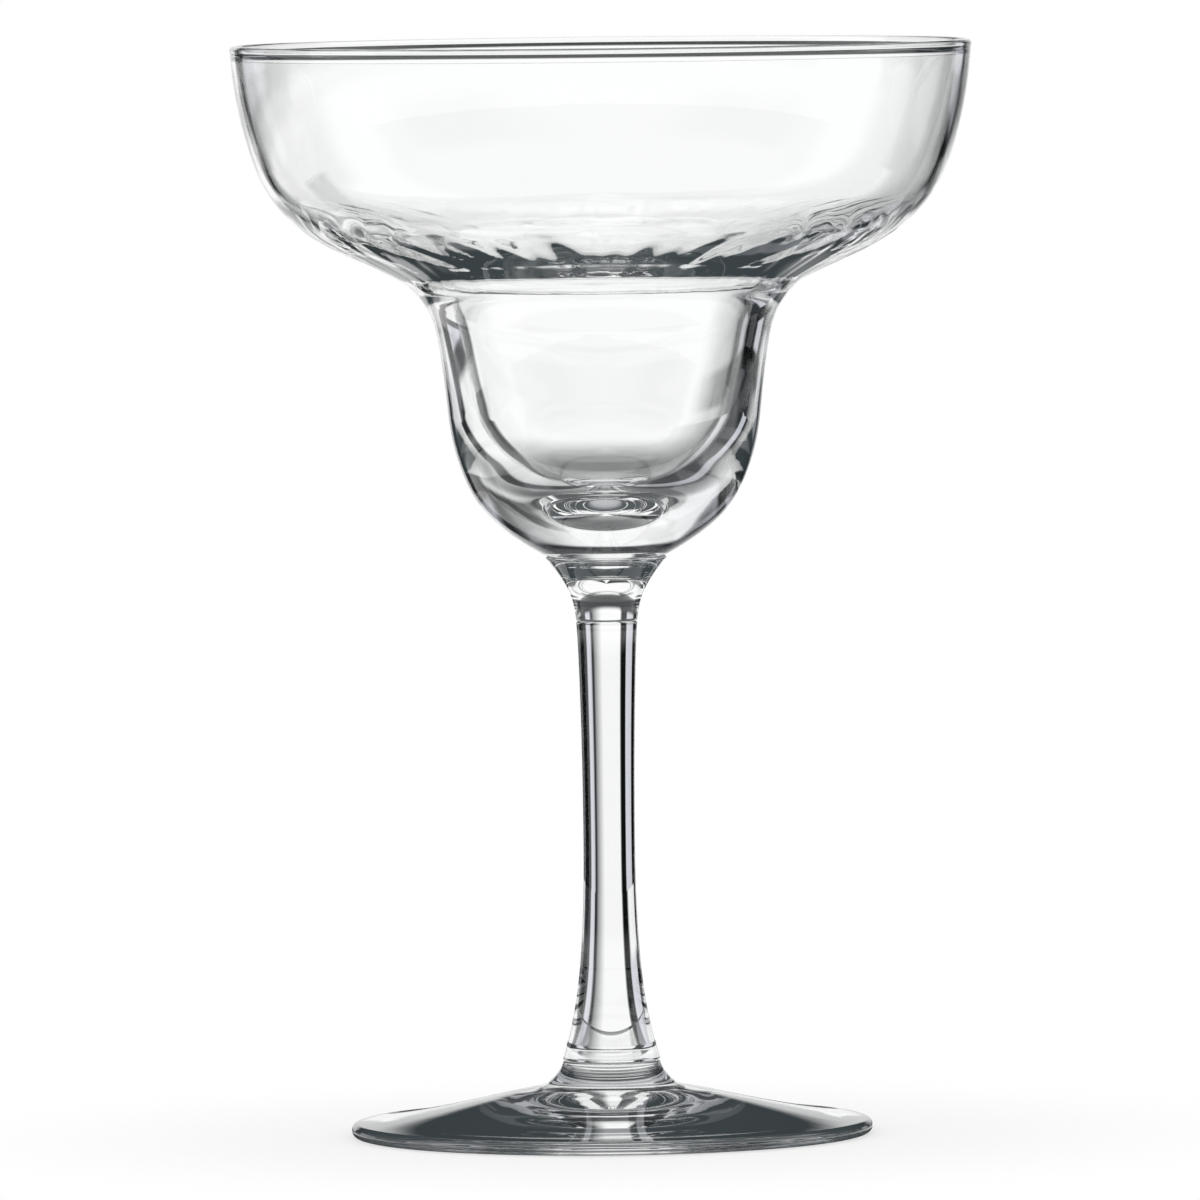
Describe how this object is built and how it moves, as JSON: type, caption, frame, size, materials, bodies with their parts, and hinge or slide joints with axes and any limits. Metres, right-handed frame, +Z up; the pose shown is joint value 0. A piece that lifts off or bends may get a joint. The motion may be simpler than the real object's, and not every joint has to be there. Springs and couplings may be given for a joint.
{
  "type": "margarita glass",
  "caption": "Stemmed cocktail glass: a wide shallow dish that steps down over a ledge into a narrow round cup, on a flared button, a slim drawn stem and a round hollow foot.",
  "frame": {"origin": "centre of the flat ring under the foot, on the table", "axes": "+Z up along the axis of the glass, from the foot to the rim; X and Y are alike, because the glass is turned"},
  "size_m": [0.116, 0.116, 0.171],
  "materials": {
    "clear_glass": "clear fire-polished soda-lime glass"
  },
  "bodies": {
    "root": {"bowl": "clear_glass", "button": "clear_glass", "stem": "clear_glass", "foot": "clear_glass"}
  },
  "joints": []
}
